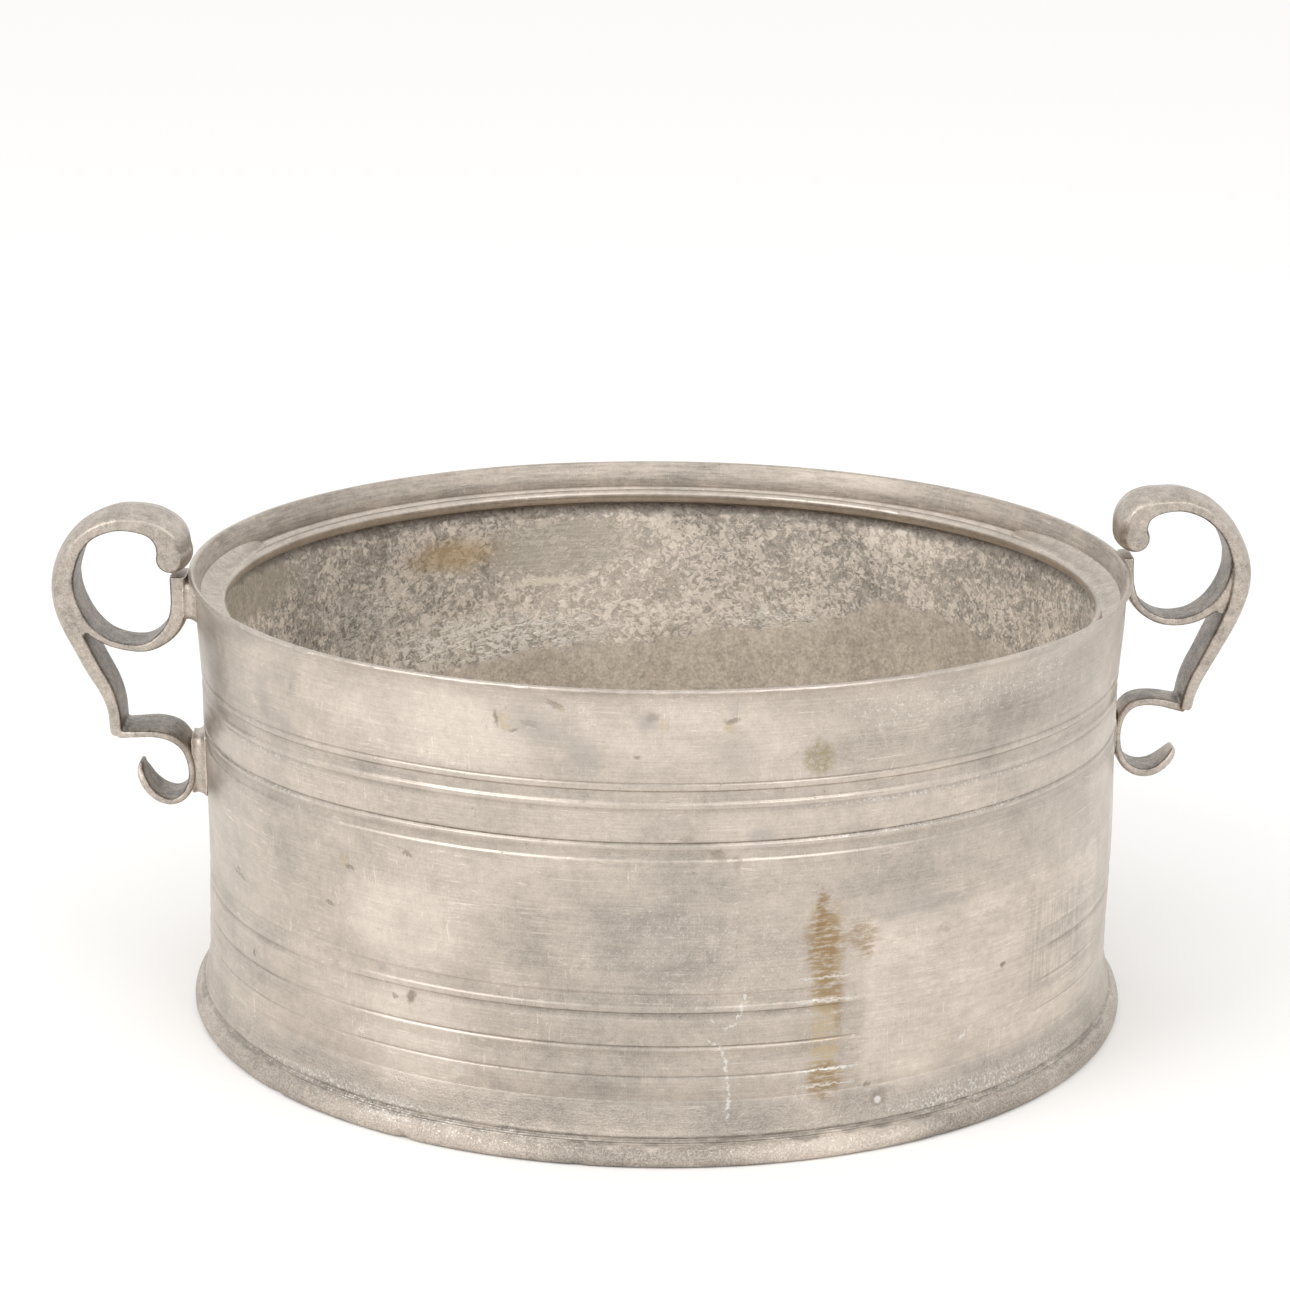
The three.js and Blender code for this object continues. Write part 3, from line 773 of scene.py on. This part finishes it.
def foot_ring():
    inner = LEDGE_INNER + 1.7
    sleeve = WAIST_RADIUS - 0.4
    shelf = WALL_FOOT - 0.3
    base = [(inner, 0.3), (inner + 0.5, 0), (FOOT_RADIUS - 3, 0), (FOOT_RADIUS - 0.9, 0),
            (FOOT_RADIUS - 0.35, 0.35)]
    flange = curve_through([(FOOT_RADIUS - back, up) for back, up in
                            ((0.05, 1.0), (0, 2.0), (0.25, 3.0), (0.9, 4.1), (1.75, 4.9))], 3)
    beads = [(FOOT_RADIUS - back, up) for back, up in
             ((2.15, 5.15), (2.45, 5.3), (2.25, 5.5), (2.2, 5.8), (2.5, 6.0), (2.95, 6.15), (3.0, 6.4),
              (2.7, 6.7))]
    sweep = curve_through([(FOOT_RADIUS - 2.75, 7.1), (FOOT_RADIUS - 3.1, 8.3), (WAIST_RADIUS + 0.7, 10.5),
                           (WAIST_RADIUS + 0.2, 13), (WAIST_RADIUS - 0.1, FOOT_TOP - 0.8)], 4)
    top = [(WAIST_RADIUS - 0.16, FOOT_TOP - 0.2), (WAIST_RADIUS - 0.35, FOOT_TOP), (sleeve - 0.2, FOOT_TOP)]
    back = [(sleeve, h) for h in np.linspace(FOOT_TOP - 1, shelf, 5)]
    back += [(inner + 0.3, shelf), (inner, shelf - 0.3)]
    outline = base + [tuple(p) for p in flange] + beads + [tuple(p) for p in sweep] + top + back

    def relief(angle, radius, height):
        rim = smoothstep(radius, FOOT_RADIUS - 3, FOOT_RADIUS)
        nicks = sum(deep * bell(from_front(angle), at, half) for at, half, deep in FOOT_NICKS)
        low = 1 - smoothstep(height, 0.5, 3)
        outward = rim * (waver(angle, 0.12, 31, (2, 5, 9, 23)) - nicks * low)
        return outward, rim * low * (0.1 + nicks * 0.6)

    corners, faces, _ = turned(outline, relief)
    return make_mesh("foot_ring_skin", corners, faces)


# ---------------------------------------------------------------------------------------------
# Handles, lugs and ledge pads
# ---------------------------------------------------------------------------------------------

# Knots of each strap in the handle's plane: (outward from the root, up from the lip, thickness, width).
# The two castings were bent apart in use, so their outlines differ a little.
RIGHT_STRAPS = {
    "arch": [
        (5.5, 4.8, 6.2, 17), (5.6, 8.3, 6.2, 17.5), (7, 11.2, 5.4, 17.5), (9.6, 12.8, 4.2, 18),
        (12.7, 13.5, 3.3, 18), (17.5, 13.7, 3, 18), (22.7, 12, 2.8, 18), (25.9, 9.7, 2.7, 17.5),
        (29.2, 6.1, 2.8, 17), (31.7, 1.3, 3.5, 16),
        (33, -3.5, 4.2, 16), (32.9, -8.4, 4.3, 16), (31.9, -13, 3.8, 16), (29.9, -18.1, 3.6, 16),
        (27.6, -22.9, 3.5, 15.5), (25.1, -28.1, 3.2, 15), (22.8, -32.8, 3.1, 14.5), (21.4, -36.9, 2.8, 14),
        (20.6, -41.2, 2.5, 14)],
    "ring": [
        (31.9, 0.5, 3, 15.5), (31.8, -4.4, 3, 15), (30.6, -8.5, 3, 14.5), (28.6, -11.9, 2.8, 14),
        (25.8, -14.6, 2.4, 12.5), (21.9, -16.9, 2.2, 11.5), (17.3, -17.8, 2.1, 11), (13.1, -17.3, 2, 11),
        (9.3, -15.3, 2, 11), (6.8, -12.7, 2.1, 11), (5.1, -8.9, 2.5, 11), (4.4, -4.9, 2.9, 11),
        (4.2, -0.8, 3.2, 11)],
    "scroll": [
        (20.6, -41.1, 2.2, 13), (17.8, -40.5, 2.3, 11.5), (14.2, -39.8, 2.2, 10.5), (10, -39.7, 2.1, 10),
        (6.9, -40.7, 2, 10), (4.9, -42.9, 1.8, 10), (3.9, -45.9, 1.6, 10), (3.6, -49.8, 1.6, 10),
        (4.2, -53.6, 1.8, 10.5), (6, -56.9, 2, 11), (9.2, -58.7, 2.2, 11.5), (12.9, -58.6, 2.2, 11.5),
        (16, -56.8, 2.2, 10.5), (18, -54.6, 1.9, 8.5), (18.8, -53, 1.2, 6)],
    "web": [(31.9, -7.5, 3.2, 14), (30.5, -12, 4.2, 13.5), (28.8, -15.4, 3.2, 13)],
}
LEFT_STRAPS = {
    "arch": [
        (5.8, 5.2, 6.4, 17), (6.5, 9.2, 6, 17.5), (9.4, 12.2, 4.4, 18), (13.4, 13.5, 3.7, 18),
        (19, 13.7, 3.2, 18), (24.9, 11.5, 2.9, 17.5), (28.4, 8.2, 3.2, 17), (31.1, 3, 4.2, 16),
        (32.4, -2.6, 4.6, 16), (32.2, -8, 3.9, 16),
        (30.9, -12.5, 3.4, 16), (28.2, -17.9, 3.5, 16), (25.3, -23.8, 3.5, 15.5), (22.2, -29.6, 3.1, 15),
        (20.6, -34.6, 2.6, 15), (20.1, -41.2, 2.4, 15)],
    "ring": [
        (31.4, 1.5, 3, 15.5), (31, -4.4, 3, 15.5), (29.3, -9.2, 2.8, 15.5), (26.4, -13.4, 2.2, 15),
        (22.2, -16.7, 1.8, 13.5), (16.7, -18.3, 1.8, 13), (12.2, -18.2, 2.3, 13), (8.4, -16.2, 3.2, 12),
        (5.5, -12.9, 4, 11), (4.3, -9, 4.1, 10.5), (4.3, -0.3, 4, 10.5)],
    "scroll": [
        (20, -41, 2, 15), (15.5, -40.7, 1.8, 16), (10.5, -40.6, 1.8, 16.5), (6, -42, 1.9, 16),
        (3.3, -44.9, 1.9, 14), (1.9, -49.5, 1.8, 13), (2, -53.6, 1.8, 13), (3.9, -57.4, 1.7, 13.5),
        (6.7, -58.8, 1.6, 14), (10, -58.1, 1.8, 14), (12.8, -55.8, 2, 13), (14.6, -52.8, 2, 11),
        (15.1, -50.9, 1.5, 8), (14.8, -49.6, 0.9, 6)],
    "web": [(31.2, -6, 3.6, 15.5), (29.9, -11, 4.6, 15.3), (28.2, -14.8, 3.6, 15)],
}
KNOB = (5.7, 4.9, 3.3, 17)  # outward, up, radius, width
CROWNS = {"arch": 2.0, "ring": 0.5, "scroll": -0.35, "web": 0}
STRAP_STEPS = 5  # between two knots
HANDLE_VOXEL, SOLDER_VOXEL = 0.32, 0.4
# The finger ring, the gap below it and the scroll, where the handle finish paints shade: (outward, up,
# reach).
HOLLOWS = [(17, -1.6, 16.5), (7, -27, 24), (7.5, -50, 9)]
SECTION_POINTS = 32
SQUARENESS = 0.26  # 1 is an oval section, 0 a rectangle


def strap(knots, crown):
    """A closed ribbon along the knots, crowned by that much on its left side."""
    line = curve_through(knots, STRAP_STEPS)
    along = np.gradient(line[:, :2], axis=0)
    along /= np.linalg.norm(along, axis=1)[:, None]
    turn = np.arange(SECTION_POINTS) * 2 * math.pi / SECTION_POINTS
    off = np.sign(np.cos(turn)) * np.abs(np.cos(turn)) ** SQUARENESS
    side = np.sign(np.sin(turn)) * np.abs(np.sin(turn)) ** SQUARENESS
    rings = []
    for (out, up, thick, wide), (dx, dz) in zip(line, along):
        rise = off * thick / 2 + crown * (1 - side ** 2) * (1 + np.sign(crown) * off) / 2 * wide / 18
        rings.append(np.stack([out - dz * rise, side * wide / 2, up + dx * rise], -1))
    return lofted(rings)


def lofted(rings):
    """Corners and faces of a closed skin over rings of equal point counts, with capped ends."""
    count = len(rings[0])
    last = (len(rings) - 1) * count
    faces = [(k + i, k + (i + 1) % count, k + count + (i + 1) % count, k + count + i)
             for k in range(0, last, count) for i in range(count)]
    faces.append(tuple(range(count))[::-1])
    faces.append(tuple(range(last, last + count)))
    return np.vstack(rings), faces


def knob():
    """The curl's end: a barrel that fills out towards its middle on the outer side."""
    out, up, radius, wide = KNOB
    turn = np.arange(SECTION_POINTS) * 2 * math.pi / SECTION_POINTS
    rings = []
    for side in np.linspace(-1, 1, 17):
        full = 1 - side ** 2
        swell = radius * (1 - 0.1 * abs(side) ** 30) + 1.1 * full
        rings.append(np.stack([out - 0.6 * full + swell * np.cos(turn),
                               np.full(SECTION_POINTS, side * wide / 2),
                               up + 0.2 * full + swell * np.sin(turn)], -1))
    return lofted(rings)


def placed(points, side):
    """From a handle's plane to the vessel. side is 1 for the right handle, -1 for the left."""
    yaw = math.radians(HANDLE_YAW)
    x = points[:, 0] * math.cos(yaw) - points[:, 1] * math.sin(yaw) + HANDLE_ROOT
    y = points[:, 0] * math.sin(yaw) + points[:, 1] * math.cos(yaw)
    return np.stack([side * x, side * y, points[:, 2] + HEIGHT], -1)


def handle(name, side, straps):
    shapes = [strap(knots, CROWNS[part]) for part, knots in straps.items()] + [knob()]
    parts = [(placed(corners, side), faces) for corners, faces in shapes]
    mesh = melted(name + "_skin", parts, HANDLE_VOXEL, 1)
    mark_edges(mesh)
    # How far each vertex faces into a hollow, where the finish paints shade.
    mark(mesh, "hollow_shade", facing_hollows(mesh, side))
    return mesh


def facing_hollows(mesh, side):
    """How squarely each vertex of a handle looks into one of its hollows, 0 to 1."""
    normals = np.empty(len(mesh.vertices) * 3)
    mesh.vertices.foreach_get("normal", normals)
    normals = normals.reshape(-1, 3)
    points = relaxed(mesh, 0)
    out, up = points[:, 0] * side - HANDLE_ROOT, points[:, 2] - HEIGHT
    facing = np.zeros(len(points))
    for centre_out, centre_up, reach in HOLLOWS:
        toward = np.stack([centre_out - out, centre_up - up], -1)
        distance = np.linalg.norm(toward, axis=1)
        look = (toward[:, 0] * normals[:, 0] * side + toward[:, 1] * normals[:, 2]) / (distance + 0.01)
        near = 1 - smoothstep(distance, reach, reach + 2)
        facing = np.maximum(facing, smoothstep(look, 0.3, 0.8) * near)
    return facing


def lug(name, side, back, low, high, wide):
    """Solder between the wall and a handle's back, spreading where it meets either."""
    turn = np.arange(SECTION_POINTS) * 2 * math.pi / SECTION_POINTS
    across = np.sign(np.sin(turn)) * np.abs(np.sin(turn)) ** 0.5
    upward = np.sign(np.cos(turn)) * np.abs(np.cos(turn)) ** 0.5
    yaw = math.radians(HANDLE_YAW)
    heights, radii = zip(*WALL_PROFILE)
    rings = []
    for step in np.linspace(0, 1, 13):
        spread = 2.0 * (1 - step) ** 2.5 + 0.9 * step ** 4
        beside = across * (wide / 2 + spread)
        up = (low + high) / 2 + upward * ((high - low) / 2 + spread * 0.8)
        wall = np.interp(up + HEIGHT, heights, radii) - 0.5
        reach = np.sqrt(wall ** 2 - (beside * math.cos(yaw)) ** 2)
        root = (reach - HANDLE_ROOT + beside * math.sin(yaw)) / math.cos(yaw)
        rings.append(np.stack([root + step * (back - root), beside, up], -1))
    corners, faces = lofted(rings)
    mesh = melted(name + "_skin", [(placed(corners, side), faces)], SOLDER_VOXEL, 2)
    mark_edges(mesh)
    return mesh


def ledge_pad(name, side, start, end):
    """A smear of solder beside a handle, from the lip's inner side down over the ledge."""
    rings = []
    for turn in np.linspace(start, end, 90):
        ends = max(0.0, 1 - abs((2 * turn - start - end) / (end - start)) ** 5) ** 0.5
        angle = math.radians(turn)
        outer, inner = LEDGE_OUTER + 0.9, LEDGE_OUTER - 0.8 - (LEDGE_OUTER - LEDGE_INNER - 1.4) * ends
        high, low = LEDGE_TOP + 0.1 + 2.1 * ends, LEDGE_TOP - 0.9
        profile = [(inner, low), (outer, low), (outer, high), (outer - 1.3 * ends, high - 1.3 * ends),
                   (outer - 3.0 * ends, high - 2.0 * ends), (inner + 0.3, LEDGE_TOP - 0.1)]
        rings.append(np.array([(side * r * math.cos(angle), side * r * math.sin(angle), h)
                               for r, h in profile]))
    corners, faces = lofted(rings)
    mesh = melted(name + "_skin", [(corners, faces)], SOLDER_VOXEL, 4)
    mark_edges(mesh)
    return mesh


# ---------------------------------------------------------------------------------------------
# The pieces
# ---------------------------------------------------------------------------------------------

outside_pewter = wall_outside_finish()
inside_pewter = inside_finish()
cast_pewter = cast_finish("handle_pewter", 0.335)
solder = cast_finish("solder", 0.40)

add_piece("drum_wall_skin", drum_wall(), [outside_pewter, inside_pewter], "drum_wall")
add_piece("lid_ledge_skin", lid_ledge(), [ledge_finish()], "lid_ledge")
add_piece("floor_disc_skin", floor_disc(), [inside_pewter], "floor_disc")
add_piece("foot_ring_skin", foot_ring(), [outside_pewter], "foot_ring")
# Each side's name, direction, straps, and the height range and reach of its two lugs.
SIDES = [
    ("right", 1, RIGHT_STRAPS, (3.4, -10.5, -2.6, 10), (3.2, -54.5, -43.5, 9.2), (-23, 26)),
    ("left", -1, LEFT_STRAPS, (3.2, -11.5, -1.6, 10), (1.9, -57.2, -42.2, 10.6), (-30, 15)),
]
for side_name, side, straps, upper, lower, pad in SIDES:
    for piece, mesh, finish, slot_name in (
            ("handle", handle(f"{side_name}_handle", side, straps), cast_pewter, "handle_pewter"),
            ("upper_lug", lug(f"{side_name}_upper_lug", side, *upper), solder, "solder"),
            ("lower_lug", lug(f"{side_name}_lower_lug", side, *lower), solder, "solder"),
            ("ledge_pad", ledge_pad(f"{side_name}_ledge_pad", side, *pad), solder, "solder")):
        add_piece(f"{side_name}_{piece}_skin", mesh, [finish], f"{side_name}_{piece}")


# ---------------------------------------------------------------------------------------------
# Stage, lights and camera
# ---------------------------------------------------------------------------------------------

def add_floor():
    half = 12.0
    mesh = bpy.data.meshes.new("floor")
    corners = [(-half, -half, 0), (half, -half, 0), (half, half, 0), (-half, half, 0)]
    mesh.from_pydata(corners, [], [(0, 1, 2, 3)])
    floor = bpy.data.objects.new("floor", mesh)
    bpy.context.scene.collection.objects.link(floor)
    paper = bpy.data.materials.new("paper")
    paper.use_nodes = True
    shader = paper.node_tree.nodes["Principled BSDF"]
    shader.inputs["Base Color"].default_value = (0.86, 0.852, 0.84, 1)
    shader.inputs["Roughness"].default_value = 0.9
    shader.inputs["Specular IOR Level"].default_value = 0.0
    mesh.materials.append(paper)


def add_softbox(name, azimuth, elevation, distance, size, power):
    """A square light aimed at the vessel. Azimuth is in degrees from the front."""
    turn = FRONT + math.radians(azimuth)
    tilt = math.radians(elevation)
    target = Vector((0, 0, HEIGHT / 2 * MM))
    away = Vector((math.cos(turn) * math.cos(tilt), math.sin(turn) * math.cos(tilt), math.sin(tilt)))
    light = bpy.data.lights.new(name, "AREA")
    light.size = size
    light.energy = power
    lamp = bpy.data.objects.new(name, light)
    lamp.location = target + away * distance
    lamp.rotation_mode = "QUATERNION"
    lamp.rotation_quaternion = away.to_track_quat("Z", "Y")
    bpy.context.scene.collection.objects.link(lamp)


def add_world(colour, strength):
    world = bpy.data.worlds.new("studio")
    world.use_nodes = True
    background = world.node_tree.nodes["Background"]
    background.inputs["Color"].default_value = (*colour, 1)
    background.inputs["Strength"].default_value = strength
    bpy.context.scene.world = world


def add_camera():
    turn, tilt = math.radians(VIEW_AZIMUTH), math.radians(VIEW_ELEVATION)
    right = Vector((math.cos(turn), math.sin(turn), 0))
    back = Vector((math.sin(turn) * math.cos(tilt), -math.cos(turn) * math.cos(tilt), math.sin(tilt)))
    up = back.cross(right)
    place = Vector((0, 0, HEIGHT)) + right * VIEW_ASIDE + up * VIEW_RISE + back * VIEW_DISTANCE
    axes = Matrix((right, up, back)).transposed()
    camera = bpy.data.objects.new("camera", bpy.data.cameras.new("camera"))
    camera.data.lens = LENS
    camera.data.sensor_width = SENSOR
    camera.data.clip_end = 50
    roll = Matrix.Rotation(math.radians(VIEW_ROLL), 3, "Z")
    camera.matrix_world = Matrix.Translation(place * MM) @ (axes @ roll).to_4x4()
    bpy.context.scene.collection.objects.link(camera)
    bpy.context.scene.camera = camera


add_floor()
add_world((1.0, 1.0, 1.0), 1.12)
add_softbox("left_box", -52, 38, 1.5, 0.8, 7)
add_softbox("right_box", 38, 42, 1.5, 0.7, 4)
add_camera()
bpy.context.scene.view_settings.view_transform = "Standard"
